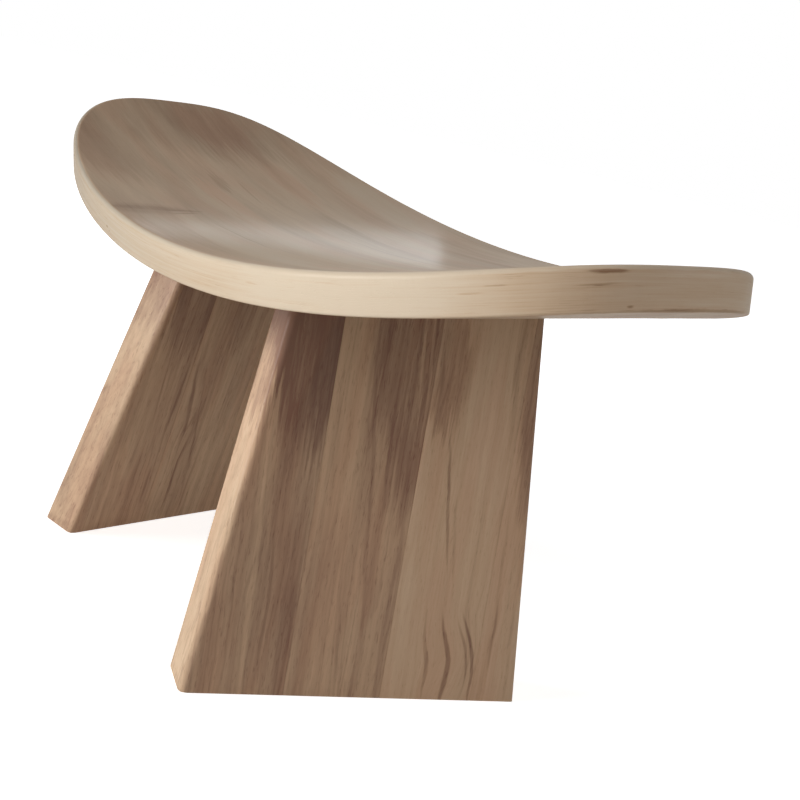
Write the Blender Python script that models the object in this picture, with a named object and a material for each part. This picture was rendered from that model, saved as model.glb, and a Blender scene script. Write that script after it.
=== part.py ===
"""Meditation stool: an oval seat board, bent up at both ends, on two splayed panel legs.

The frame has its origin on the floor under the middle of the seat. X runs along the seat,
-Y is the front, where the seat is lowest and the knees go, and +Z is up. Lengths are metres.
"""

import math

import bmesh
import bpy
from mathutils import Matrix, Vector

# Seat board
SEAT_LENGTH = 0.4535          # along the bend, tip to tip
SEAT_WIDTH = 0.2103
SEAT_THICKNESS = 0.016
SEAT_HEIGHT = 0.1919          # middle of the top above the floor
SEAT_TILT = math.radians(5.1)  # the front is lower than the rear
BEND_RADIUS = 0.6225          # of the top surface, along the board
LENGTH_POWER = 2.05           # roundness of the outline towards its tips
WIDTH_POWER = 2.95            # flatness of its long sides
TOP_ROUND = 0.0026            # round-over between the top and the rim
BOTTOM_ROUND = 0.0010         # softened edge between the rim and the underside
RIM_UNDERCUT = 0.0018         # the rim leans in by this much towards the underside

# Leg panels
LEG_THICKNESS = 0.025
LEG_FOOT_LENGTH = 0.165
LEG_SPREAD = 0.0930           # middle plane to the outer front corner, on the floor
LEG_SETBACK = 0.0144          # seat's front edge to that corner
LEG_TOE = math.radians(15.2)  # the front ends stand closer together
LEG_SPLAY = math.radians(10.4)
FRONT_RAKE = math.radians(7.4)
REAR_RAKE = math.radians(6.2)
EDGE_SKEW = math.radians(2.5)  # front and rear edges are cut this far off square
FRONT_ROUND = 0.0035          # round-over of the upright edges
REAR_ROUND = 0.0020

# Staves that each panel is glued up from, and the dowels that hold it to the seat
STAVES = 4
REAR_STAVE = 0.0243           # at the floor; the others share the rest evenly
DOWEL_DIAMETER = 0.008
DOWEL_LENGTH = 0.036
DOWEL_IN_SEAT = 0.010
DOWEL_CHAMFER = 0.001
DOWEL_NAMES = ("front", "middle", "rear")

GAP = 0.0003                  # glue line or fit between two pieces that touch

# Fineness of the curved faces
RIM_POINTS = 108
FACE_RINGS = 7
ROUND_STEPS = 4
LEG_ROUND_STEPS = 4
DOWEL_SIDES = 20

# Colours are linear
SEAT_WOOD = (0.46, 0.35, 0.25, 1.0)
LEG_WOOD = (0.26, 0.16, 0.10, 1.0)
DOWEL_WOOD = (0.60, 0.45, 0.29, 1.0)


def clear_scene():
    for obj in list(bpy.data.objects):
        bpy.data.objects.remove(obj, do_unlink=True)


def collection(name):
    made = bpy.data.collections.new(name)
    bpy.context.scene.collection.children.link(made)
    return made


def wood(name, colour, roughness):
    material = bpy.data.materials.new(name)
    material.use_nodes = True
    shader = material.node_tree.nodes["Principled BSDF"]
    shader.inputs["Base Color"].default_value = colour
    shader.inputs["Roughness"].default_value = roughness
    shader.inputs["Metallic"].default_value = 0.0
    return material


def add_object(name, bm, home, material=None):
    """Turns the bmesh into an object, shaded smooth where its faces meet gently."""
    bmesh.ops.recalc_face_normals(bm, faces=bm.faces)
    mesh = bpy.data.meshes.new(name)
    bm.to_mesh(mesh)
    bm.free()
    mesh.shade_smooth()
    mesh.set_sharp_from_angle(angle=math.radians(35))
    obj = bpy.data.objects.new(name, mesh)
    home.objects.link(obj)
    if material:
        mesh.materials.append(material)
    return obj


def cut(obj, cutter, operation="DIFFERENCE"):
    """Takes the cutter's volume out of the object, or keeps only what they share."""
    cutter.hide_render = True
    cutter.display_type = "WIRE"
    boolean = obj.modifiers.new(cutter.name, "BOOLEAN")
    boolean.operation = operation
    boolean.solver = "EXACT"
    boolean.object = cutter


# The seat's outline: an oval between an ellipse and a rounded rectangle
def oval(angle):
    """Point of the outline at a given angle of its own parameter."""
    along = abs(math.cos(angle)) ** (2 / LENGTH_POWER)
    across = abs(math.sin(angle)) ** (2 / WIDTH_POWER)
    return Vector((
        math.copysign(along, math.cos(angle)) * SEAT_LENGTH / 2,
        math.copysign(across, math.sin(angle)) * SEAT_WIDTH / 2,
    ))


def even_quarter(count, samples=2000):
    """Points spaced evenly along one quarter of the outline, from the tip to the long side."""
    points = [oval(math.pi / 2 * k / samples) for k in range(samples + 1)]
    reach = [0.0]
    for before, after in zip(points, points[1:]):
        reach.append(reach[-1] + (after - before).length)
    quarter = []
    k = 0
    for n in range(count + 1):
        goal = reach[-1] * n / count
        while k < samples - 1 and reach[k + 1] < goal:
            k += 1
        share = (goal - reach[k]) / (reach[k + 1] - reach[k])
        quarter.append(points[k].lerp(points[k + 1], share))
    return quarter


def seat_outline():
    """The whole outline with its inward directions, anticlockwise from the +X tip."""
    quarter = even_quarter(RIM_POINTS // 4)
    half = quarter + [Vector((-p.x, p.y)) for p in reversed(quarter[:-1])]
    points = half + [Vector((p.x, -p.y)) for p in reversed(half[1:-1])]
    inward = []
    for k in range(len(points)):
        run = points[(k + 1) % len(points)] - points[k - 1]
        inward.append(Vector((-run.y, run.x)).normalized())
    return points, inward


# The seat's surface: bent to a radius along its length, and tilted to the front
def seat_point(along, across, depth):
    """World place of a point of the board, depth below its top surface."""
    slope = along / BEND_RADIUS
    radius = BEND_RADIUS + depth
    flat = Vector((radius * math.sin(slope), across, BEND_RADIUS - radius * math.cos(slope)))
    return Matrix.Rotation(SEAT_TILT, 3, "X") @ flat + Vector((0, 0, SEAT_HEIGHT))


def seat_depth(point):
    """How far a point lies below the seat's top surface, measured square to the board."""
    flat = Matrix.Rotation(-SEAT_TILT, 3, "X") @ (point - Vector((0, 0, SEAT_HEIGHT)))
    return math.hypot(flat.x, BEND_RADIUS - flat.z) - BEND_RADIUS


def arc(centre, radius, start, end):
    """Points of a quarter arc in the rim's section."""
    points = []
    for k in range(ROUND_STEPS + 1):
        angle = math.radians(start + (end - start) * k / ROUND_STEPS)
        points.append((centre[0] + radius * math.cos(angle), centre[1] + radius * math.sin(angle)))
    return points


def plate_section(top, bottom, lean):
    """Half section of a plate: radius and height, from the middle of its top down its rim."""
    radius = SEAT_WIDTH / 2
    upper = (radius - TOP_ROUND, top - TOP_ROUND)
    lower = (radius - lean - BOTTOM_ROUND, bottom + BOTTOM_ROUND)
    inner = radius - 4 * TOP_ROUND
    rings = [inner * k / FACE_RINGS for k in range(FACE_RINGS + 1)]
    section = [(r, top) for r in rings]
    section += arc(upper, TOP_ROUND, 90, 0)
    section += arc(lower, BOTTOM_ROUND, 0, -90)
    section += [(r * (inner - lean) / inner, bottom) for r in reversed(rings)]
    return section, inner


def bent_plate(name, home, top, bottom, lean, material=None):
    """A turned plate, drawn out to the seat's oval and then bent and tilted as the seat is."""
    section, inner = plate_section(top, bottom, lean)
    points, inward = seat_outline()
    bm = bmesh.new()
    line = [bm.verts.new((r, 0, z)) for r, z in section]
    edges = [bm.edges.new(pair) for pair in zip(line, line[1:])]
    bmesh.ops.spin(
        bm, geom=line + edges, cent=(0, 0, 0), axis=(0, 0, 1), angle=2 * math.pi,
        steps=RIM_POINTS, use_merge=True,
    )
    bmesh.ops.remove_doubles(bm, verts=bm.verts, dist=1e-6)
    for vert in bm.verts:
        radius = math.hypot(vert.co.x, vert.co.y)
        turn = math.atan2(vert.co.y, vert.co.x) / (2 * math.pi)
        k = round(turn * RIM_POINTS) % RIM_POINTS
        inset = SEAT_WIDTH / 2 - max(radius, inner)
        flat = (points[k] + inward[k] * inset) * min(1.0, radius / inner)
        vert.co = seat_point(flat.x, flat.y, -vert.co.z)
    bmesh.ops.triangulate(bm, faces=bm.faces)
    return add_object(name, bm, home, material)


# The legs: place along the foot, up the face, and out of the outer face
def leg_frame(side):
    """Origin and directions of a leg: along its foot, up its face, and outwards."""
    outwards = Vector((side * math.cos(LEG_TOE), -math.sin(LEG_TOE), 0))
    foot = Vector((side * math.sin(LEG_TOE), math.cos(LEG_TOE), 0))
    up = Vector((0, 0, 1))
    face = math.cos(LEG_SPLAY) * up - math.sin(LEG_SPLAY) * outwards
    normal = math.cos(LEG_SPLAY) * outwards + math.sin(LEG_SPLAY) * up
    corner = Vector((side * LEG_SPREAD, LEG_SETBACK - SEAT_WIDTH / 2, 0))
    return corner, foot, face, normal


def leg_point(side, along, height, inwards):
    """World place of a point of the panel, inwards from its outer face."""
    corner, foot, face, normal = leg_frame(side)
    return corner + foot * along + face * height - normal * inwards


def panel_sides(height):
    """The panel's raked front and rear edges, at a height up its face."""
    front = height * math.tan(FRONT_RAKE)
    rear = LEG_FOOT_LENGTH - height * math.tan(REAR_RAKE)
    return front, rear


def stave_sides(number):
    """The glue lines on both sides of a stave; the outermost sides run past the panel."""
    width = (LEG_FOOT_LENGTH - REAR_STAVE) / (STAVES - 1)
    front = width * number + GAP / 2 if number else -width
    rear = width * (number + 1) - GAP / 2 if number < STAVES - 1 else LEG_FOOT_LENGTH + width
    return front, rear


def leg_prism(side, sides_at, low, high, faces, skew=0.0):
    """A prism along the leg's own directions, and its upright edges at the front and rear."""
    bm = bmesh.new()
    bmesh.ops.create_cube(bm, size=2)
    uprights = [e for e in bm.edges if e.verts[0].co.z != e.verts[1].co.z]
    front = [e for e in uprights if e.verts[0].co.x < 0]
    rear = [e for e in uprights if e.verts[0].co.x > 0]
    for vert in bm.verts:
        inwards = faces[1] if vert.co.y < 0 else faces[0]
        height = high if vert.co.z > 0 else low + inwards * math.tan(LEG_SPLAY)
        along = sides_at(height)[1 if vert.co.x > 0 else 0] - inwards * skew
        vert.co = leg_point(side, along, height, inwards)
    bmesh.ops.recalc_face_normals(bm, faces=bm.faces)
    return bm, front, rear


def leg_panel(name, home, side):
    """The whole leg as one panel, cut level at the floor and left long at the top."""
    top = (SEAT_HEIGHT + 2 * SEAT_THICKNESS) / math.cos(LEG_SPLAY)
    bm, front, rear = leg_prism(
        side, panel_sides, 0.0, top, (0.0, LEG_THICKNESS), math.tan(EDGE_SKEW)
    )
    for edges, radius in ((front, FRONT_ROUND), (rear, REAR_ROUND)):
        bmesh.ops.bevel(
            bm, geom=edges, offset=radius, offset_type="OFFSET", segments=LEG_ROUND_STEPS,
            profile=0.5, affect="EDGES",
        )
    return add_object(name, bm, home)


def stave(name, home, side, number, panel, material):
    """One stave: the part of the panel between two glue lines."""
    past = LEG_THICKNESS
    top = (SEAT_HEIGHT + 3 * SEAT_THICKNESS) / math.cos(LEG_SPLAY)
    front, rear = stave_sides(number)
    bm, _, _ = leg_prism(
        side, lambda height: (front, rear), -past, top, (-past, LEG_THICKNESS + past)
    )
    obj = add_object(name, bm, home, material)
    cut(obj, panel, "INTERSECT")
    return obj


# The dowels: one in the top of each of the first three staves, along the leg's face
def height_under_seat(side, along, inwards):
    """Height up a leg's face at which it meets the seat's underside."""
    low, high = 0.0, SEAT_HEIGHT / math.cos(LEG_SPLAY)
    for _ in range(40):
        height = (low + high) / 2
        if seat_depth(leg_point(side, along, height, inwards)) > SEAT_THICKNESS:
            low = height
        else:
            high = height
    return height


def dowel_place(side, number):
    """Foot and direction of a dowel, in the middle of its stave where that meets the seat."""
    inwards = LEG_THICKNESS / 2
    height = height_under_seat(side, 0.0, inwards)
    lines = stave_sides(number)
    along = (max(lines[0], panel_sides(height)[0]) + lines[1]) / 2
    height = height_under_seat(side, along, inwards)
    foot = leg_point(side, along, height - (DOWEL_LENGTH - DOWEL_IN_SEAT), inwards)
    return foot, leg_frame(side)[2]


def round_pin(name, home, foot, direction, radius, length, chamfer, material=None):
    """A pin turned from its half section, with a chamfer at both ends."""
    section = [
        (0, length), (radius - chamfer, length), (radius, length - chamfer),
        (radius, chamfer), (radius - chamfer, 0), (0, 0),
    ]
    bm = bmesh.new()
    line = [bm.verts.new((r, 0, z)) for r, z in section]
    edges = [bm.edges.new(pair) for pair in zip(line, line[1:])]
    bmesh.ops.spin(
        bm, geom=line + edges, cent=(0, 0, 0), axis=(0, 0, 1), angle=2 * math.pi,
        steps=DOWEL_SIDES, use_merge=True,
    )
    bmesh.ops.remove_doubles(bm, verts=bm.verts, dist=1e-6)
    turn = Vector((0, 0, 1)).rotation_difference(direction).to_matrix().to_4x4()
    bmesh.ops.transform(bm, matrix=Matrix.Translation(foot) @ turn, verts=bm.verts)
    return add_object(name, bm, home, material)


def main():
    clear_scene()
    parts = collection("Meditation stool")
    cutters = collection("Cutters")
    seat_wood = wood("Seat board wood", SEAT_WOOD, 0.42)
    leg_wood = wood("Leg panel wood", LEG_WOOD, 0.50)
    dowel_wood = wood("Dowel beech", DOWEL_WOOD, 0.70)

    seat = bent_plate("seat_board", parts, 0.0, -SEAT_THICKNESS, RIM_UNDERCUT, seat_wood)
    trim = bent_plate(
        "Space above the legs", cutters, 3 * SEAT_THICKNESS, -SEAT_THICKNESS - GAP, 0.0
    )

    for side, hand in ((1, "left"), (-1, "right")):
        panel = leg_panel(f"{hand} leg panel", cutters, side)
        cut(panel, trim)
        staves = []
        for number in range(STAVES):
            name = f"{hand}_leg_stave_{number + 1}"
            staves.append(stave(name, parts, side, number, panel, leg_wood))
        for number, place in enumerate(DOWEL_NAMES):
            foot, direction = dowel_place(side, number)
            round_pin(
                f"{hand}_dowel_{place}", parts, foot, direction,
                DOWEL_DIAMETER / 2, DOWEL_LENGTH, DOWEL_CHAMFER, dowel_wood,
            )
            hole = round_pin(
                f"Hole for {hand} {place} dowel", cutters, foot - GAP * direction, direction,
                DOWEL_DIAMETER / 2 + GAP, DOWEL_LENGTH + 2 * GAP, DOWEL_CHAMFER,
            )
            cut(staves[number], hole)
            cut(seat, hole)


main()
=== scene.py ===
"""Looks of the meditation stool: its boards, its satin lacquer and a plain white stage."""

import math

import bpy
from mathutils import Matrix, Vector


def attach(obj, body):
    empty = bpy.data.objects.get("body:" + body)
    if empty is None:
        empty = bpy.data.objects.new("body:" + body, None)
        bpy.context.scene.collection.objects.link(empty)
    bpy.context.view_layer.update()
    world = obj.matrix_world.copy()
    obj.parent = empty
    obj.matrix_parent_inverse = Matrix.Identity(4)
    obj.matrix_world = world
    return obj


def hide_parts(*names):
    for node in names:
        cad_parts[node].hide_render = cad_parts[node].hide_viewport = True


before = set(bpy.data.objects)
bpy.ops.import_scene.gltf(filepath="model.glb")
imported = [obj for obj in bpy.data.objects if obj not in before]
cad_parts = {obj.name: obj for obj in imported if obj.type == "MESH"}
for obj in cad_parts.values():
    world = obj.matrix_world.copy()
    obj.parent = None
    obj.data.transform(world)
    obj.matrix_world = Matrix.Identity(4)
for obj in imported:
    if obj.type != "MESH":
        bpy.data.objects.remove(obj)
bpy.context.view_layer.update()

bl_info = {
    "name": "Meditation Stool",
    "version": (1, 0, 0),
    "blender": (4, 5, 0),
    "location": "3D View > Sidebar > Stool",
    "description": "Finishes a meditation stool's seat, legs and dowels, and sets its stage",
    "category": "Object",
}

STAVES = 4  # in each leg
RIM_POINTS = 432  # round the seat's outline
# Steps between the rings on the seat's top and underside, from the rim inwards, in metres
FACE_RINGS = (0.0004, 0.0014, 0.0030, 0.0056) + (0.009,) * 9
TOUCHING = 0.00001  # metres: points nearer to each other than this are one
THROUGH = 60  # millimetres: half the depth of a mark that goes through a whole stave
ENDLESS = 5000  # millimetres: past every edge of the wood


def srgb(code):
    """Turns an sRGB hex code into a linear colour with full alpha."""
    values = [int(code[k : k + 2], 16) / 255 for k in (0, 2, 4)]
    return [v / 12.92 if v <= 0.04045 else ((v + 0.055) / 1.055) ** 2.4 for v in values] + [1.0]


def add_node(tree, kind, inputs=None, **settings):
    """Adds a node, with its settings, its values and its links."""
    node = tree.nodes.new(kind)
    for name, value in settings.items():
        setattr(node, name, value)
    for key, value in (inputs or {}).items():
        if isinstance(value, bpy.types.NodeSocket):
            tree.links.new(value, node.inputs[key])
        else:
            node.inputs[key].default_value = value
    return node


def new_material(name):
    """An empty node material with its output and its shader."""
    material = bpy.data.materials.new(name)
    material.use_nodes = True
    tree = material.node_tree
    tree.nodes.clear()
    shader = add_node(tree, "ShaderNodeBsdfPrincipled")
    add_node(tree, "ShaderNodeOutputMaterial", {"Surface": shader.outputs[0]})
    return material, tree, shader


class StoolSeat(bpy.types.PropertyGroup):
    """Sizes of the seat board, as in the CAD model."""

    length: bpy.props.FloatProperty(
        name="Length", description="Tip to tip, along the bend", unit="LENGTH", default=0.4535
    )
    width: bpy.props.FloatProperty(
        name="Width", description="Front edge to rear edge", unit="LENGTH", default=0.2103
    )
    thickness: bpy.props.FloatProperty(
        name="Thickness", description="Of the board", unit="LENGTH", default=0.016
    )
    height: bpy.props.FloatProperty(
        name="Height", description="Middle of the top above the floor", unit="LENGTH",
        default=0.1919,
    )
    tilt: bpy.props.FloatProperty(
        name="Tilt", description="How far the front leans down", unit="ROTATION",
        default=math.radians(5.1),
    )
    bend: bpy.props.FloatProperty(
        name="Bend radius", description="Of the top, along the board", unit="LENGTH",
        default=0.6225,
    )
    length_power: bpy.props.FloatProperty(
        name="Tip shape", description="Roundness of the outline at its tips", default=2.05
    )
    width_power: bpy.props.FloatProperty(
        name="Side shape", description="Flatness of the outline's long sides", default=2.95
    )
    top_round: bpy.props.FloatProperty(
        name="Top round-over", description="Between the top and the rim", unit="LENGTH",
        default=0.0026,
    )
    bottom_round: bpy.props.FloatProperty(
        name="Bottom round-over", description="Between the rim and the underside",
        unit="LENGTH", default=0.0010,
    )
    undercut: bpy.props.FloatProperty(
        name="Undercut", description="How far the rim leans in towards the underside",
        unit="LENGTH", default=0.0018,
    )


class StoolLegs(bpy.types.PropertyGroup):
    """How the leg panels stand, and how their staves are glued."""

    spread: bpy.props.FloatProperty(
        name="Spread", description="Middle plane to the outer front corner", unit="LENGTH",
        default=0.0930,
    )
    corner: bpy.props.FloatProperty(
        name="Corner", description="Place of that corner along Y", unit="LENGTH",
        default=-0.09075,
    )
    toe: bpy.props.FloatProperty(
        name="Toe", description="How far the fronts of the legs turn in", unit="ROTATION",
        default=math.radians(15.2),
    )
    splay: bpy.props.FloatProperty(
        name="Splay", description="How far the legs lean out at the foot", unit="ROTATION",
        default=math.radians(10.4),
    )
    foot_length: bpy.props.FloatProperty(
        name="Foot length", description="Of a panel, on the floor", unit="LENGTH", default=0.165
    )
    rear_stave: bpy.props.FloatProperty(
        name="Rear stave", description="Width of the last stave at the floor", unit="LENGTH",
        default=0.0243,
    )
    closing: bpy.props.FloatProperty(
        name="Glue closing", description="How far each glued face moves to close its joint",
        unit="LENGTH", default=0.00013,
    )
    arris: bpy.props.FloatProperty(
        name="Foot arris", description="Softening of the edges at the floor", unit="LENGTH",
        default=0.0004,
    )


class StoolWood(bpy.types.PropertyGroup):
    """Colours and finish of the woods."""

    seat_pale: bpy.props.FloatVectorProperty(
        name="Seat, pale", description="Palest tone of the seat", subtype="COLOR",
        size=4, min=0.0, max=1.0, default=srgb("DCCDB6"),
    )
    seat_mid: bpy.props.FloatVectorProperty(
        name="Seat, middle", description="Usual tone of the seat", subtype="COLOR",
        size=4, min=0.0, max=1.0, default=srgb("D3BC9F"),
    )
    seat_dark: bpy.props.FloatVectorProperty(
        name="Seat, dark", description="Tone of its streaks and knots", subtype="COLOR",
        size=4, min=0.0, max=1.0, default=srgb("9A7C62"),
    )
    leg_pale: bpy.props.FloatVectorProperty(
        name="Legs, pale", description="Palest tone of the legs", subtype="COLOR",
        size=4, min=0.0, max=1.0, default=srgb("E2CCB0"),
    )
    leg_mid: bpy.props.FloatVectorProperty(
        name="Legs, middle", description="Usual tone of the legs", subtype="COLOR",
        size=4, min=0.0, max=1.0, default=srgb("D0B597"),
    )
    leg_dark: bpy.props.FloatVectorProperty(
        name="Legs, dark", description="Tone of their heart streaks", subtype="COLOR",
        size=4, min=0.0, max=1.0, default=srgb("917261"),
    )
    # Painted shade: darkens and greys the far end of the rim, where less and cooler light falls
    seat_painted_shade: bpy.props.FloatVectorProperty(
        name="Seat, grey cast", description="Multiplies the colour where the rim turns greyer",
        subtype="COLOR", size=4, min=0.0, max=1.0, default=srgb("CACDD1"),
    )
    seat_red: bpy.props.FloatVectorProperty(
        name="Seat, red cast", description="Multiplies the seat's colour in redder places",
        subtype="COLOR", size=4, min=0.0, max=1.0, default=srgb("FFF4F1"),
    )
    leg_red: bpy.props.FloatVectorProperty(
        name="Legs, red cast", description="Multiplies the legs' colour in redder places",
        subtype="COLOR", size=4, min=0.0, max=1.0, default=srgb("FCF6F5"),
    )
    dowel: bpy.props.FloatVectorProperty(
        name="Dowels", description="Tone of the beech dowels", subtype="COLOR",
        size=4, min=0.0, max=1.0, default=srgb("D9B78C"),
    )
    roughness: bpy.props.FloatProperty(
        name="Roughness", description="Of the satin lacquer", subtype="FACTOR",
        min=0.0, max=1.0, default=0.46,
    )


class StoolStage(bpy.types.PropertyGroup):
    """Where the camera stands and how the stage is lit."""

    camera_place: bpy.props.FloatVectorProperty(
        name="Camera place", description="Where the camera stands", subtype="TRANSLATION",
        size=3, unit="LENGTH", default=(0.469328, -0.307065, 0.258026),
    )
    camera_turn: bpy.props.FloatVectorProperty(
        name="Camera turn", description="Which way the camera looks", subtype="EULER",
        size=3, default=[math.radians(a) for a in (75.5288, -13.3881, 55.2178)],
    )
    lens: bpy.props.FloatProperty(
        name="Lens", description="Focal length on a sensor 36 mm wide", subtype="DISTANCE_CAMERA",
        default=49.898,
    )
    lamp_centre: bpy.props.FloatVectorProperty(
        name="Lamp centre", description="The place that every lamp faces",
        subtype="TRANSLATION", size=3, unit="LENGTH", default=(0.0, 0.02, 0.15),
    )
    lamp_distance: bpy.props.FloatProperty(
        name="Lamp distance", description="From that place to each lamp", unit="LENGTH",
        default=2.0,
    )
    front_power: bpy.props.FloatProperty(
        name="Front light", description="Power of the broad lamp in front", unit="POWER",
        default=36.0,
    )
    side_power: bpy.props.FloatProperty(
        name="Side light", description="Power of the warm lamp at the left end", unit="POWER",
        default=7.2,
    )
    rear_power: bpy.props.FloatProperty(
        name="Rear light", description="Power of the lamp above and behind", unit="POWER",
        default=7.3,
    )
    window_power: bpy.props.FloatProperty(
        name="Window light", description="Power of the window that shines in the seat",
        unit="POWER", default=5.2,
    )
    floor_glow: bpy.props.FloatProperty(
        name="Floor glow", description="How white the floor is in the deepest shadow",
        subtype="FACTOR", default=0.74,
    )
    ambient: bpy.props.FloatProperty(
        name="Room light", description="Strength of the even light all round", subtype="FACTOR",
        default=0.02,
    )


# The wood: layers of figure, laid over each other in real millimetres
def figure(tree, place, size, seed, detail=2.0, roughness=0.5):
    """A layer of figure drawn out to a size in millimetres, about 0.3 to 0.7."""
    drawn = add_node(
        tree, "ShaderNodeMapping", {"Vector": place, "Scale": size}, vector_type="TEXTURE"
    )
    return add_node(
        tree, "ShaderNodeTexNoise",
        {
            "Vector": drawn.outputs[0], "W": seed, "Scale": 1.0, "Detail": detail,
            "Roughness": roughness,
        },
        noise_dimensions="4D",
    )


def fray(tree, place, size, push, seed):
    """Place in the board pushed about by its fibres, so that marks wander or end raggedly."""
    fibres = figure(tree, place, size, seed, 3.0).outputs["Color"]
    middle = add_node(
        tree, "ShaderNodeVectorMath", {0: fibres, 1: (0.5, 0.5, 0.5)}, operation="SUBTRACT"
    )
    return add_node(
        tree, "ShaderNodeVectorMath", {0: middle.outputs[0], 1: push, 2: place},
        operation="MULTIPLY_ADD",
    ).outputs[0]


def flecks(tree, place, size, seed, low, high):
    """Separate flecks or patches of a size in millimetres, where a layer of figure peaks:
    0 up to the low level, 1 from the high one."""
    layer = figure(tree, place, size, seed, 1.0).outputs["Fac"]
    return add_node(
        tree, "ShaderNodeMapRange", {"Value": layer, "From Min": low, "From Max": high},
        interpolation_type="SMOOTHSTEP",
    ).outputs[0]


def weigh(tree, layers, total):
    """The total with each layer added at its weight."""
    for layer, weight in layers:
        total = add_node(
            tree, "ShaderNodeMath", {0: layer, 1: weight, 2: total}, operation="MULTIPLY_ADD"
        ).outputs[0]
    return total


def start_at(tone, layers):
    """What a total starts from, so that layers of figure, 0.5 on average, give a tone."""
    return tone - 0.5 * sum(weight for _, weight in layers)


def rings(tree, place, size, seed, lines):
    """Thin dark edges of the growth rings, some lines of them for the full range of a layer
    of figure: they crowd and part as the figure turns."""
    turned = weigh(tree, [(figure(tree, place, size, seed, 1.0).outputs["Fac"], lines)], 0.0)
    folded = add_node(tree, "ShaderNodeMath", {0: turned, 1: 0.5}, operation="PINGPONG")
    return add_node(
        tree, "ShaderNodeMapRange",
        {"Value": folded.outputs[0], "From Max": 0.16, "To Min": 1.0, "To Max": 0.0},
        interpolation_type="SMOOTHSTEP",
    ).outputs[0]


def mark(tree, place, spot, soft):
    """One soft-edged streak, knot or patch of the board, or a patch of painted light or shade,
    from 0 to 1 at its middle.
    """
    centre, half, lean = spot
    drawn = add_node(
        tree, "ShaderNodeMapping",
        {
            "Vector": place, "Location": centre, "Rotation": (0, 0, math.radians(lean)),
            "Scale": half,
        },
        vector_type="TEXTURE",
    )
    dot = add_node(
        tree, "ShaderNodeTexGradient", {"Vector": drawn.outputs[0]}, gradient_type="SPHERICAL"
    )
    return add_node(
        tree, "ShaderNodeMapRange", {"Value": dot.outputs["Fac"], "From Max": soft},
        interpolation_type="SMOOTHSTEP",
    ).outputs[0]


def swell(tree, place, spot, push):
    """Place in the board pushed aside at a spot, so that its lines bend round there."""
    return add_node(
        tree, "ShaderNodeVectorMath", {0: mark(tree, place, spot, 1.0), 1: push, 2: place},
        operation="MULTIPLY_ADD",
    ).outputs[0]


def wood_colour(tree, tone, tones, blush, red):
    """Colour of the wood for a tone from 0, darkest, to 1, palest, and redder in a blush."""
    dark, mid, pale = tones
    ramp = add_node(tree, "ShaderNodeValToRGB", {"Fac": tone})
    ramp.color_ramp.elements[0].position = 0.05
    ramp.color_ramp.elements[0].color = dark
    ramp.color_ramp.elements[1].position = 0.95
    ramp.color_ramp.elements[1].color = pale
    ramp.color_ramp.elements.new(0.55).color = mid
    return add_node(
        tree, "ShaderNodeMix", {0: blush, 6: ramp.outputs["Color"], 7: red}, data_type="RGBA",
        blend_type="MULTIPLY",
    ).outputs[2]


def lacquer(tree, shader, wood, colour, relief, worn):
    """Thin satin lacquer over open pores: matt from above, with a sheen at a low angle. The
    wood under it has no gloss of its own, so only the coat shines."""
    tree.links.new(colour, shader.inputs["Base Color"])
    rough = weigh(tree, [(worn, 0.30)], wood.roughness - 0.15)
    tree.links.new(rough, shader.inputs["Roughness"])
    bump = add_node(
        tree, "ShaderNodeBump", {"Height": relief, "Strength": 0.5, "Distance": 0.00012}
    )
    tree.links.new(bump.outputs[0], shader.inputs["Normal"])
    shader.inputs["Specular IOR Level"].default_value = 0.0
    shader.inputs["Coat Weight"].default_value = 0.16
    shader.inputs["Coat Roughness"].default_value = 0.16


def leg_frame(legs, side):
    """Corner of a leg, and its directions: along its foot, up its face, out of its face."""
    outwards = Vector((side * math.cos(legs.toe), -math.sin(legs.toe), 0))
    foot = Vector((side * math.sin(legs.toe), math.cos(legs.toe), 0))
    face = math.cos(legs.splay) * Vector((0, 0, 1)) - math.sin(legs.splay) * outwards
    normal = foot.cross(face)
    return Vector((side * legs.spread, legs.corner, 0)), foot, face, normal


# Marks of each stave: place across and up the face, half sizes, lean, and how much darker (below
# 0) or paler the colour is there. Millimetres, from the outer front corner.
# Left leg. On stave 1 the pale strip (9, 85) by the front edge is painted light where the front
# lamp falls, and the dark mark (22, 172) at the top of the front strip is painted shade under the
# seat. The dark patches across the tops of the staves, (37, 180), (80, 170), (98, 160) and (152,
# 162), are partly heart streaks and partly painted shade under the seat.
LEFT_MARKS_AND_LIGHT = {
    1: [
        (9, 85, 4, 150, -7.4, 0.17), (20, 50, 22, 90, -3, -0.07),
        (22, 172, 7, 60, -7.4, -0.30), (37, 180, 26, 82, 3, -0.30), (42, 160, 8, 62, 4, -0.08),
        (30, 118, 4, 30, 5, -0.10), (24.7, 50, 1.7, 80, 2.7, 0.16), (43, 45, 4, 66, 0, -0.12),
        (24, 108, 3, 50, 7, 0.08), (33, 40, 1.2, 50, 3, -0.14),
    ],
    2: [
        (80, 170, 20, 92, 8, -0.20), (84, 106, 8, 32, 5, -0.08), (70, 118, 1.4, 62, 7, -0.14),
        (90.5, 158, 1.1, 50, 3, 0.20), (87, 152, 0.9, 44, 4, 0.16), (57, 128, 6, 70, 3, 0.08),
        (76, 62, 1.4, 50, 6, -0.12), (92, 30, 3, 60, 1, -0.10), (68, 30, 1.2, 40, 5, -0.10),
    ],
    3: [
        (98, 160, 15, 40, 4, -0.28), (128, 60, 12, 60, 2, -0.06), (111.6, 96, 1.2, 40, 10, -0.34),
        (97, 92, 3, 66, 1, 0.10), (122, 138, 10, 50, 4, 0.08), (112.5, 21, 1.0, 30, 6.5, -0.28),
        (121.7, 18, 1.6, 32, 8.7, -0.44), (134.2, 19, 1.4, 32, 13.6, -0.38),
        (129.5, 24, 1.0, 22, 12, -0.26), (137, 168, 5, 60, 3, -0.16), (119, 74, 1.0, 34, 8, -0.12),
    ],
    4: [
        (152, 162, 16, 86, 3, -0.34), (147.5, 30, 1.2, 22, 2, -0.16),
        (158, 20, 1.4, 30, 3, -0.10), (146, 60, 1.2, 46, 3, -0.12),
    ],
}
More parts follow.
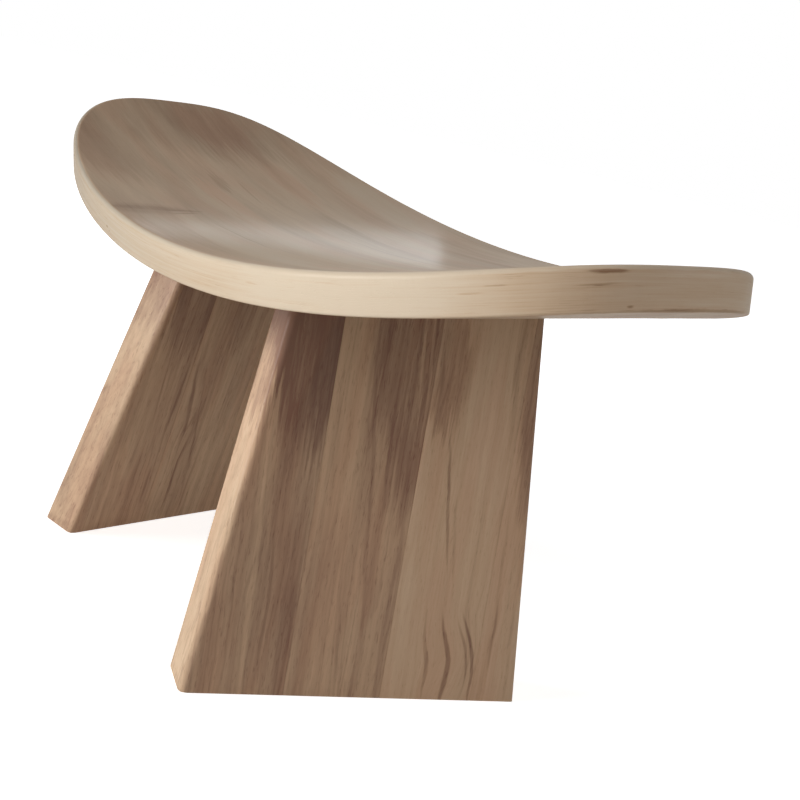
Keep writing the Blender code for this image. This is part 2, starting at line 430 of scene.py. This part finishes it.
# Right leg. The dark mark (22, 172) at the top of the front strip is painted shade under the seat.
RIGHT_MARKS_AND_SHADE = {
    1: [
        (22, 172, 8, 60, -7.4, -0.08), (35, 160, 24, 60, 3, -0.16),
        (43.4, 88, 1.5, 32, -3, -0.26), (20, 30, 10, 46, 2, 0.10),
        (41, 31, 1.5, 20, 0, -0.22), (30, 100, 1.2, 50, 3, -0.14),
    ],
    2: [
        (52.8, 84, 1.7, 50, 5.5, -0.28), (57, 70, 6, 6, 20, -0.14), (60, 34, 1.6, 32, 0, -0.22),
        (65, 60, 1.4, 26, 14, -0.20), (76, 60, 8, 60, 4, 0.06), (72, 148, 10, 40, 4, -0.12),
        (70, 36, 1.2, 36, 3, -0.16),
    ],
    3: [(110, 110, 9, 66, 3, -0.16), (128, 40, 1.4, 40, 4, -0.20), (118, 60, 1.2, 50, 5, -0.14)],
    4: [(150, 130, 8, 66, 3, -0.16)],
}
# Where the lines of a stave bend aside: middle and half sizes of the place, and how far
SWELLS = {
    ("left", 3): [((131, 20, 0), (24, 27, THROUGH), (-5.5, 0, 0))],
    ("right", 2): [((58, 78, 0), (14, 36, THROUGH), (-4.0, 0, 0))],
}
# Usual tone of each stave, front to rear, from 0, darkest, to 1, palest
TONES = {"left": (0.44, 0.45, 0.65, 0.65), "right": (0.42, 0.45, 0.52, 0.51)}


def stave_wood(name, wood, legs, side, number, tone, marks, swells):
    """Rubberwood, planed and lacquered: straight grain with thin ring edges and short dark pores,
    and heart streaks that end in ragged fibres. The eye gets one board per stave. Some marks are
    painted light and shade: a paler front strip on the left leg where the front lamp falls, the
    tops of the front strips darkened as painted shade under the seat, and darker stave tops there
    that are partly heart streaks and partly painted shade."""
    material, tree, shader = new_material(name)
    corner, foot, face, normal = leg_frame(legs, side)
    seed = number * 3.7 + (0 if side > 0 else 40)
    source = add_node(tree, "ShaderNodeTexCoord")
    board = add_node(
        tree, "ShaderNodeMapping",
        {
            "Vector": source.outputs["Object"], "Location": corner, "Scale": (0.001,) * 3,
            "Rotation": Matrix((foot, face, normal)).transposed().to_euler(),
        },
        vector_type="TEXTURE",
    ).outputs[0]
    grown = board
    for centre, half, push in swells:
        grown = swell(tree, grown, (centre, half, 0), push)
    frayed = fray(tree, grown, (1.8, 40.0, 1.8), (2.5, 70.0, 0.0), seed)
    wavy = fray(tree, grown, (16.0, 34.0, 16.0), (6.0, 0.0, 0.0), seed + 5)

    broad = figure(tree, board, (16.0, 160.0, 16.0), seed).outputs["Fac"]
    bands = figure(tree, wavy, (3.2, 130.0, 6.0), seed + 1).outputs["Fac"]
    edges = rings(tree, wavy, (9.0, 240.0, 14.0), seed + 2, lines=5.0)
    fibre = figure(
        tree, grown, (0.8, 16.0, 1.2), seed + 3, detail=3.0, roughness=0.6
    ).outputs["Fac"]
    # Pores are 0.2 mm wide in the wood, and are drawn 0.5 mm wide so that they show
    pores = flecks(tree, grown, (0.5, 5.0, 0.8), seed + 4, low=0.58, high=0.70)
    layers = [(broad, 0.30), (bands, 0.45), (fibre, 0.32)]
    start = start_at(tone, layers)
    layers += [(edges, -0.09), (pores, -0.14)]
    # Some of these marks are painted light and shade: a paler front strip and darker tops under
    # the seat
    for x, y, half_x, half_y, lean, weight in marks:
        spot = ((x, y, 0), (half_x, half_y, THROUGH), lean)
        # A streak under 4 mm wide wanders with the grain, and a patch ends in ragged fibres
        place, soft = (wavy, 0.6) if half_x < 2 else (frayed, 0.35)
        layers.append((mark(tree, place, spot, soft), weight))

    # The glue lines are finer still, and are drawn just under 1 mm wide, a little darker
    width = (legs.foot_length - legs.rear_stave) / (STAVES - 1) * 1000
    for line in (width * (number - 1), width * number):
        spot = ((line, 0, 0), (0.5, ENDLESS, ENDLESS), 0)
        layers.append((mark(tree, board, spot, soft=0.7), -0.10))

    total = weigh(tree, layers, start)
    blush = flecks(tree, frayed, (14.0, 90.0, 20.0), seed + 6, low=0.42, high=0.62)
    tones = (wood.leg_dark, wood.leg_mid, wood.leg_pale)
    colour = wood_colour(tree, total, tones, blush, wood.leg_red)
    relief = weigh(tree, [(pores, -0.8), (edges, -0.2)], fibre)
    lacquer(tree, shader, wood, colour, relief, bands)
    return material


class STOOL_OT_dress_legs(bpy.types.Operator):
    """Closes the glue lines of the staves, softens their edges and gives them their wood"""

    bl_idname = "stool.dress_legs"
    bl_label = "Dress the legs"

    def execute(self, context):
        legs, wood = context.scene.stool_legs, context.scene.stool_wood
        for side, hand, marks in ((1, "left", LEFT_MARKS_AND_LIGHT), (-1, "right", RIGHT_MARKS_AND_SHADE)):
            _, foot, _, _ = leg_frame(legs, side)
            for number in range(1, STAVES + 1):
                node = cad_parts[f"{hand}_leg_stave_{number}"]
                stave = bpy.data.objects.new(f"{hand}_stave_{number}", node.data.copy())
                context.collection.objects.link(stave)
                bpy.ops.object.select_all(action="DESELECT")
                stave.select_set(True)
                context.view_layer.objects.active = stave

                bpy.ops.object.mode_set(mode="EDIT")
                bpy.ops.mesh.select_all(action="SELECT")
                bpy.ops.mesh.remove_doubles(threshold=TOUCHING)
                bpy.ops.mesh.dissolve_limited(angle_limit=math.radians(0.5))
                # The glued faces: large, and square to the foot, unlike the raked end faces
                for way in (-1, 1):
                    bpy.ops.mesh.select_all(action="DESELECT")
                    bpy.ops.object.mode_set(mode="OBJECT")
                    glued = [
                        f for f in stave.data.polygons
                        if f.normal.dot(foot) * way > 0.9999 and f.area > 0.001
                    ]
                    for f in glued:
                        f.select = True
                    bpy.ops.object.mode_set(mode="EDIT")
                    if glued:
                        bpy.ops.transform.translate(value=foot * way * legs.closing)
                bpy.ops.mesh.select_all(action="DESELECT")
                bpy.ops.object.mode_set(mode="OBJECT")
                # The edges at the floor that run along the foot
                for edge in stave.data.edges:
                    ends = [stave.data.vertices[v].co for v in edge.vertices]
                    run = (ends[1] - ends[0]).normalized()
                    low = max(end.z for end in ends) < 0.0001
                    edge.select = low and abs(run.dot(foot)) > 0.9
                bpy.ops.object.mode_set(mode="EDIT")
                bpy.ops.mesh.bevel(offset=legs.arris, segments=2, affect="EDGES")
                bpy.ops.object.mode_set(mode="OBJECT")
                bpy.ops.object.shade_smooth_by_angle(angle=math.radians(35))
                bpy.ops.object.modifier_add(type="WEIGHTED_NORMAL")
                stave.modifiers[0].keep_sharp = True
                bpy.ops.object.modifier_apply(modifier=stave.modifiers[0].name)

                stave.data.materials.clear()
                stave.data.materials.append(
                    stave_wood(
                        f"Lacquered rubberwood, {hand} stave {number}", wood, legs, side, number,
                        TONES[hand][number - 1], marks[number], SWELLS.get((hand, number), ()),
                    )
                )
                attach(stave, "root")
                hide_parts(node.name)
        return {"FINISHED"}


# The seat's outline and bend, as in the CAD model
def seat_outline(seat):
    """Even points round the outline from the +X tip, with their inward directions."""
    # A quarter of the outline is sampled finely, and then walked in even steps
    samples = 4000
    quarter, reach = [], [0.0]
    for k in range(samples + 1):
        angle = math.pi / 2 * k / samples
        quarter.append(Vector((
            abs(math.cos(angle)) ** (2 / seat.length_power) * seat.length / 2,
            math.sin(angle) ** (2 / seat.width_power) * seat.width / 2,
        )))
        if k:
            reach.append(reach[-1] + (quarter[-1] - quarter[-2]).length)
    even = []
    k = 0
    for n in range(RIM_POINTS // 4 + 1):
        goal = reach[-1] * n / (RIM_POINTS // 4)
        while k < samples - 1 and reach[k + 1] < goal:
            k += 1
        even.append(quarter[k].lerp(quarter[k + 1], (goal - reach[k]) / (reach[k + 1] - reach[k])))
    half = even + [Vector((-p.x, p.y)) for p in reversed(even[:-1])]
    points = half + [Vector((p.x, -p.y)) for p in reversed(half[1:-1])]
    inward = []
    for k in range(RIM_POINTS):
        run = points[(k + 1) % RIM_POINTS] - points[k - 1]
        inward.append(Vector((-run.y, run.x)).normalized())
    return points, inward


def bend_board(seat, board):
    """Draws the round plate out to the oval, bends it and tilts it, and keeps each point's
    place in the flat board, in millimetres, for the grain."""
    points, inward = seat_outline(seat)
    radius = seat.width / 2
    # The plate is drawn out inside this circle, and the ring outside it keeps its round-overs
    inner = radius - 4 * seat.top_round
    wall = (seat.top_round, seat.thickness - seat.bottom_round)
    tilt = Matrix.Rotation(seat.tilt, 3, "X")
    kept = board.data.attributes.new("board", "FLOAT_VECTOR", "POINT")
    for vert, place in zip(board.data.vertices, kept.data):
        r = math.hypot(vert.co.x, vert.co.y)
        k = round(math.atan2(vert.co.y, vert.co.x) / (2 * math.pi) * RIM_POINTS) % RIM_POINTS
        depth = -vert.co.z
        lean = min(1.0, max(0.0, (depth - wall[0]) / (wall[1] - wall[0])))
        r -= seat.undercut * lean * min(1.0, r / inner)
        flat = (points[k] + inward[k] * (radius - max(r, inner))) * min(1.0, r / inner)
        place.vector = (flat.x * 1000, flat.y * 1000, depth * 1000)
        slope = flat.x / seat.bend
        out = seat.bend + depth
        bent = Vector((out * math.sin(slope), flat.y, seat.bend - out * math.cos(slope)))
        vert.co = tilt @ bent + Vector((0, 0, seat.height))


def select_where(board, kind, test):
    """Selects the edges or polygons of a mesh that pass a test on their corners' places."""
    bpy.ops.mesh.select_all(action="DESELECT")
    bpy.ops.object.mode_set(mode="OBJECT")
    mesh = board.data
    for part in getattr(mesh, kind):
        spots = [mesh.vertices[v].co for v in part.vertices]
        part.select = test(spots)
    bpy.ops.object.mode_set(mode="EDIT")


# Marks of the seat: place along, across and down the flat board from the middle of its top, half
# sizes, lean, and how much darker or paler the colour is there. Millimetres. Most are the wood's
# own; some are painted light and shade, named below.
# Patches of the top. The pale strips at (60, -72), (80, -38) and (80, -4) are a painted reflection
# of the lacquer's sheen near the front edge, and the dark patch at (-205, 10) over the far end is
# painted shade.
SEAT_PATCHES_AND_LIGHT = [
    (-205, 10, 0, 80, 90, 8, 0, -0.17), (60, -72, 0, 110, 12, 6, 0, 0.14),
    (-102, -19, 0, 18, 5, 6, -8, -0.12), (-196, 10, 0, 46, 30, 8, 0, -0.08),
    (-150, -44, 0, 50, 6, 6, 2, -0.10), (-120, 36, 0, 60, 7, 6, -3, 0.08),
    (20, -30, 0, 90, 8, 6, 2, 0.06), (0, 20, 0, 80, 4, 6, -2, -0.08),
    (60, 52, 0, 60, 10, 6, 3, -0.08), (-150, -72, 0, 74, 28, 6, 0, -0.15),
    (-70, -34, 0, 46, 15, 6, 0, 0.10), (-75, 80, 0, 74, 28, 6, 0, 0.16),
    (80, -38, 0, 90, 13, 6, 0, 0.10), (80, -4, 0, 80, 12, 6, 0, 0.08),
]
SEAT_LINES = [
    (-43, -86, 0, 13, 30, 6, 2, -0.13), (-45, -84, 0, 5, 27, 6, 0, -0.10),
    (-43, -66, 0, 2.4, 14, 6, 3, -0.14), (-38, -67, 0, 1.6, 11, 6, 14, -0.16),
    (-86, -8, 0, 26, 1.2, 6, -3, -0.16),
    (-60, -34, 0, 30, 0.9, 6, -2, -0.10), (10, -58, 0, 40, 0.8, 6, 1, -0.12),
    (70, -46, 0, 34, 0.8, 6, -1, -0.12), (40, 6, 0, 46, 1.0, 6, 2, -0.10),
]
# Marks of the rim. The pale band at (0, 0, 0.9), all round just under the top, is a painted
# highlight along the top edge; the dark line at (226, 10, 15.7), low on the tip, is painted shade;
# the darker patches at (-170, -60) and (216, -50) and the paler one at (140, -88) are painted
# light and shade along the rim.
RIM_MARKS_AND_LIGHT = [
    (0, 0, 0.9, ENDLESS, ENDLESS, 1.2, 0, 0.24), (-170, -60, 8, 170, 110, 60, 0, -0.14),
    (140, -88, 8, 84, 40, 30, 0, 0.26), (216, -50, 8, 26, 26, 30, 0, -0.13),
    (-47, -104, 11, 2.0, 4, 1.0, 0, -0.50), (-44, -104, 12.2, 1.6, 4, 0.6, 0, -0.40),
    (224.5, -27, 14, 4, 2.2, 0.9, 0, -0.50), (222, -34, 2.4, 6, 12, 1.1, 0, -0.45),
    (221, -38, 6.6, 6, 16, 0.7, 0, -0.22), (95, -99, 7.5, 5, 5, 0.5, 0, -0.30),
    (192, -69, 8.0, 8, 6, 0.5, 0, -0.28), (199, -64, 5.6, 6, 5, 0.4, 0, -0.24),
    (60, -103, 9.0, 30, 6, 0.5, 0, -0.16), (-20, -105, 5.0, 40, 6, 0.4, 0, -0.12),
    (150, -88, 4.6, 34, 10, 0.4, 0, -0.16), (226, 10, 15.7, 14, 60, 1.3, 0, -0.50),
]
# Where the top turns redder, and where the far end of the rim is painted in shade, darker and
# greyer: middle, half sizes and lean
SEAT_REDS = [
    ((-193, 12, 0), (40, 30, 8), 0), ((-108, 30, 0), (44, 12, 8), -4),
    ((-70, -30, 0), (50, 9, 8), 3),
]
# The far end of the rim, where it is painted in shade
FAR_RIM_SHADE = ((-196, -70, 8), (345, 120, 60), 0)
# Usual tones of the top and the rim, from 0, darkest, to 1, palest
TOP_TONE = 0.50
RIM_TONE = 0.74


def seat_wood(wood):
    """Rubberwood bent to a curve and lacquered: fine straight grain along the board, and on its
    rim the thin pale and tan lines of the layers, which follow both edges. Painted light and shade
    are laid into its colour too: a highlight along the top edge, the lacquer's sheen near the
    front of the top, and shade at the far end, low on the tip and along the rim."""
    material, tree, shader = new_material("Lacquered bent rubberwood")
    board = add_node(tree, "ShaderNodeAttribute", attribute_name="board").outputs["Vector"]
    frayed = fray(tree, board, (40.0, 1.8, 1.8), (60.0, 2.5, 0.0), 9.0)
    wavy = fray(tree, board, (34.0, 16.0, 16.0), (0.0, 5.0, 0.0), 10.0)

    # The top and the underside
    broad = figure(tree, board, (120.0, 26.0, 20.0), 1.0).outputs["Fac"]
    bands = figure(tree, wavy, (120.0, 3.6, 9.0), 2.0).outputs["Fac"]
    edges = rings(tree, wavy, (260.0, 16.0, 20.0), 3.0, lines=4.0)
    fibre = figure(tree, board, (18.0, 0.8, 1.2), 4.0, detail=3.0, roughness=0.6).outputs["Fac"]
    # Pores are 0.2 mm wide in the wood, and are drawn 0.5 mm wide so that they show
    pores = flecks(tree, board, (6.0, 0.5, 0.8), 5.0, low=0.60, high=0.72)
    layers = [(broad, 0.45), (bands, 0.18), (fibre, 0.18)]
    start = start_at(TOP_TONE, layers)
    layers += [(edges, -0.03), (pores, -0.06)]
    # The top's marks include a painted reflection of the sheen and painted shade at the far end
    for places, coordinates, soft in ((SEAT_PATCHES_AND_LIGHT, frayed, 0.5), (SEAT_LINES, wavy, 0.6)):
        for x, y, z, half_x, half_y, half_z, lean, weight in places:
            spot = ((x, y, z), (half_x, half_y, half_z), lean)
            layers.append((mark(tree, coordinates, spot, soft), weight))
    top = weigh(tree, layers, start)

    # The rim, whose lines run round it at an even depth
    sheets = figure(tree, board, (60.0, 60.0, 1.3), 6.0).outputs["Fac"]
    lines = figure(tree, board, (22.0, 22.0, 0.34), 7.0).outputs["Fac"]
    dashes = flecks(tree, board, (9.0, 9.0, 0.30), 8.0, low=0.62, high=0.74)
    layers = [(sheets, 0.60), (lines, 0.50), (broad, 0.30)]
    start = start_at(RIM_TONE, layers)
    layers.append((dashes, -0.20))
    ragged = fray(tree, board, (9.0, 9.0, 2.0), (8.0, 0.0, 1.6), 12.0)
    # Among the rim's marks are a painted highlight along the top edge and painted light and shade
    # along the rim
    for x, y, z, half_x, half_y, half_z, lean, weight in RIM_MARKS_AND_LIGHT:
        spot = ((x, y, z), (half_x, half_y, half_z), lean)
        layers.append((mark(tree, ragged, spot, soft=0.6), weight))
    rim = weigh(tree, layers, start)

    # The rim's wood starts in the top's round-over, and ends just short of the underside, at these
    # depths in millimetres. Its pale tone high in the round-over is also a painted highlight along
    # the top edge.
    depth = add_node(tree, "ShaderNodeSeparateXYZ", {"Vector": board}).outputs["Z"]
    on_rim = 1.0
    for none, full in ((0.0, 0.3), (15.95, 15.5)):
        step = add_node(
            tree, "ShaderNodeMapRange", {"Value": depth, "From Min": none, "From Max": full},
            interpolation_type="SMOOTHSTEP",
        )
        on_rim = add_node(
            tree, "ShaderNodeMath", {0: on_rim, 1: step.outputs[0]}, operation="MULTIPLY"
        ).outputs[0]
    tone = add_node(tree, "ShaderNodeMix", {0: on_rim, 2: top, 3: rim}).outputs[0]
    reds = [(mark(tree, frayed, spot, soft=0.6), 0.9) for spot in SEAT_REDS]
    reds.append((flecks(tree, frayed, (90.0, 22.0, 20.0), 11.0, low=0.42, high=0.62), 0.6))
    blush = add_node(
        tree, "ShaderNodeMix", {0: on_rim, 2: weigh(tree, reds, 0.0), 3: 0.0}
    ).outputs[0]
    tones = (wood.seat_dark, wood.seat_mid, wood.seat_pale)
    colour = wood_colour(tree, tone, tones, blush, wood.seat_red)
    # Painted shade over the far end of the rim: its colour is darkened and greyed there
    far_rim_shade = add_node(
        tree, "ShaderNodeMath", {0: mark(tree, board, FAR_RIM_SHADE, soft=0.8), 1: on_rim},
        operation="MULTIPLY",
    ).outputs[0]
    colour = add_node(
        tree, "ShaderNodeMix", {0: far_rim_shade, 6: colour, 7: wood.seat_painted_shade}, data_type="RGBA",
        blend_type="MULTIPLY",
    ).outputs[2]
    grain = add_node(tree, "ShaderNodeMix", {0: on_rim, 2: fibre, 3: lines}).outputs[0]
    lacquer(tree, shader, wood, colour, weigh(tree, [(pores, -0.6)], grain), bands)
    # Satin lacquer has a pale haze where it is seen at a low angle
    shader.inputs["Sheen Weight"].default_value = 0.13
    shader.inputs["Sheen Roughness"].default_value = 0.25
    return material


class STOOL_OT_dress_seat(bpy.types.Operator):
    """Models the seat board with a smooth bend and rim, and gives it its wood"""

    bl_idname = "stool.dress_seat"
    bl_label = "Dress the seat"

    def execute(self, context):
        seat = context.scene.stool_seat
        radius, thickness = seat.width / 2, seat.thickness
        bpy.ops.object.select_all(action="DESELECT")
        bpy.ops.mesh.primitive_cylinder_add(
            vertices=RIM_POINTS, radius=radius, depth=thickness, location=(0, 0, -thickness / 2)
        )
        board = context.object
        board.name = "bent_seat_board"
        bpy.ops.object.transform_apply(location=True, rotation=True, scale=True)

        bpy.ops.object.mode_set(mode="EDIT")
        for level, offset, steps in ((0, seat.top_round, 6), (-thickness, seat.bottom_round, 3)):
            select_where(
                board, "edges", lambda spots: all(abs(s.z - level) < TOUCHING for s in spots)
            )
            bpy.ops.mesh.bevel(offset=offset, segments=steps, affect="EDGES")
        for level in (0, -thickness):
            select_where(
                board, "polygons",
                lambda spots: len(spots) > 8 and all(abs(s.z - level) < TOUCHING for s in spots),
            )
            for step in FACE_RINGS:
                bpy.ops.mesh.inset(thickness=step)
            bpy.ops.mesh.poke()
        select_where(
            board, "polygons",
            lambda spots: max(s.z for s in spots) - min(s.z for s in spots) > thickness / 2,
        )
        bpy.ops.mesh.subdivide(number_cuts=1)
        bpy.ops.object.mode_set(mode="OBJECT")
        bend_board(seat, board)
        bpy.ops.object.shade_smooth_by_angle(angle=math.radians(40))

        board.data.materials.clear()
        board.data.materials.append(seat_wood(context.scene.stool_wood))
        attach(board, "root")
        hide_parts("seat_board")
        return {"FINISHED"}


class STOOL_OT_finish_dowels(bpy.types.Operator):
    """Gives the hidden dowels their raw beech"""

    bl_idname = "stool.finish_dowels"
    bl_label = "Finish the dowels"

    def execute(self, context):
        # Beech, turned and left raw: pale, matt, with short fine flecks along it
        wood = context.scene.stool_wood
        material, tree, shader = new_material("Raw turned beech")
        source = add_node(tree, "ShaderNodeTexCoord").outputs["Object"]
        millimetres = add_node(
            tree, "ShaderNodeMapping", {"Vector": source, "Scale": (0.001,) * 3},
            vector_type="TEXTURE",
        ).outputs[0]
        fleck = figure(tree, millimetres, (0.6, 0.6, 3.0), 1.0).outputs["Fac"]
        tone = weigh(tree, [(fleck, 0.5)], 0.75)
        colour = add_node(
            tree, "ShaderNodeVectorMath", {0: wood.dowel[:3], 3: tone}, operation="SCALE"
        )
        tree.links.new(colour.outputs[0], shader.inputs["Base Color"])
        shader.inputs["Roughness"].default_value = 0.7
        for name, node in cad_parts.items():
            if "dowel" in name:
                node.data.materials.clear()
                node.data.materials.append(material)
        return {"FINISHED"}


def seen_rays(tree):
    """1 for the rays that show the surround: straight, by gloss or through glass."""
    path = add_node(tree, "ShaderNodeLightPath")
    seen = path.outputs["Is Camera Ray"]
    for way in ("Is Glossy Ray", "Is Transmission Ray"):
        seen = add_node(
            tree, "ShaderNodeMath", {0: seen, 1: path.outputs[way]}, operation="MAXIMUM"
        ).outputs[0]
    return seen


class STOOL_OT_set_stage(bpy.types.Operator):
    """Sets the floor, the white surround, the lamps and the camera"""

    bl_idname = "stool.set_stage"
    bl_label = "Set the stage"

    def execute(self, context):
        stage = context.scene.stool_stage
        bpy.ops.object.select_all(action="DESELECT")

        bpy.ops.mesh.primitive_plane_add(size=30, location=(0, 0, 0))
        floor = context.object
        floor.name = "floor"
        # White paper: it shows pure white to the camera, and only the shadow near the stool
        # is greyer
        material, tree, shader = new_material("White paper floor")
        shader.inputs["Base Color"].default_value = srgb("F4F4F4")
        shader.inputs["Roughness"].default_value = 0.9
        spot = add_node(tree, "ShaderNodeTexCoord").outputs["Object"]
        reach = add_node(tree, "ShaderNodeVectorMath", {0: spot}, operation="LENGTH")
        glow = add_node(
            tree, "ShaderNodeMapRange",
            {
                "Value": reach.outputs["Value"], "From Min": 0.25, "From Max": 0.9,
                "To Min": stage.floor_glow, "To Max": 1.0,
            },
            interpolation_type="SMOOTHSTEP",
        )
        shown = add_node(
            tree, "ShaderNodeMath", {0: seen_rays(tree), 1: glow.outputs[0]}, operation="MULTIPLY"
        )
        white = add_node(
            tree, "ShaderNodeEmission", {"Color": (1, 1, 1, 1), "Strength": shown.outputs[0]}
        )
        both = add_node(tree, "ShaderNodeAddShader", {0: shader.outputs[0], 1: white.outputs[0]})
        out = [n for n in tree.nodes if n.type == "OUTPUT_MATERIAL"][0]
        tree.links.new(both.outputs[0], out.inputs["Surface"])
        floor.data.materials.append(material)

        world = bpy.data.worlds.new("White surround")
        world.use_nodes = True
        tree = world.node_tree
        tree.nodes.clear()
        room = add_node(
            tree, "ShaderNodeBackground", {"Color": (1, 1, 1, 1), "Strength": stage.ambient}
        )
        white = add_node(tree, "ShaderNodeBackground", {"Color": (1, 1, 1, 1), "Strength": 1.0})
        both = add_node(
            tree, "ShaderNodeMixShader",
            {0: seen_rays(tree), 1: room.outputs[0], 2: white.outputs[0]},
        )
        add_node(tree, "ShaderNodeOutputWorld", {"Surface": both.outputs[0]})
        context.scene.world = world

        # Bearing from the front towards the left of the stool, height, width, colour, power
        lamps = (
            ("front_lamp", 340, 12, 1.15, (1.0, 1.0, 1.0), stage.front_power),
            ("side_lamp", 60, 30, 1.15, (1.0, 0.82, 0.73), stage.side_power),
            ("rear_lamp", 150, 35, 1.15, (1.0, 1.0, 1.0), stage.rear_power),
            ("window_lamp", 242, 6.5, 0.70, (0.9, 0.97, 1.0), stage.window_power),
        )
        for name, bearing, height, width, colour, power in lamps:
            bearing, height = math.radians(bearing), math.radians(height)
            towards = Vector((
                math.sin(bearing) * math.cos(height), -math.cos(bearing) * math.cos(height),
                math.sin(height),
            ))
            bpy.ops.object.light_add(
                type="AREA", location=stage.lamp_centre + towards * stage.lamp_distance,
                rotation=towards.to_track_quat("Z", "Y").to_euler(),
            )
            lamp = context.object
            lamp.name = name
            lamp.data.size = width
            lamp.data.energy = power
            lamp.data.color = colour

        bpy.ops.object.camera_add(location=stage.camera_place, rotation=stage.camera_turn)
        camera = context.object
        camera.name = "photo_camera"
        camera.data.sensor_width = 36
        camera.data.lens = stage.lens
        context.scene.camera = camera
        context.scene.view_settings.view_transform = "Standard"
        return {"FINISHED"}


class STOOL_PT_sidebar(bpy.types.Panel):
    """Lists the steps of the stool's finish"""

    bl_idname = "STOOL_PT_sidebar"
    bl_label = "Meditation stool"
    bl_space_type = "VIEW_3D"
    bl_region_type = "UI"
    bl_category = "Stool"

    def draw(self, context):
        for step in STEPS:
            self.layout.operator(step.bl_idname)


GROUPS = (StoolSeat, StoolLegs, StoolWood, StoolStage)
STEPS = (STOOL_OT_dress_seat, STOOL_OT_dress_legs, STOOL_OT_finish_dowels, STOOL_OT_set_stage)


def register():
    for cls in (*GROUPS, *STEPS, STOOL_PT_sidebar):
        bpy.utils.register_class(cls)
    bpy.types.Scene.stool_seat = bpy.props.PointerProperty(type=StoolSeat)
    bpy.types.Scene.stool_legs = bpy.props.PointerProperty(type=StoolLegs)
    bpy.types.Scene.stool_wood = bpy.props.PointerProperty(type=StoolWood)
    bpy.types.Scene.stool_stage = bpy.props.PointerProperty(type=StoolStage)


def unregister():
    del bpy.types.Scene.stool_stage
    del bpy.types.Scene.stool_wood
    del bpy.types.Scene.stool_legs
    del bpy.types.Scene.stool_seat
    for cls in reversed((*GROUPS, *STEPS, STOOL_PT_sidebar)):
        bpy.utils.unregister_class(cls)


def main():
    register()
    for step in STEPS:
        group, name = step.bl_idname.split(".")
        getattr(getattr(bpy.ops, group), name)()


if __name__ == "__main__":
    main()
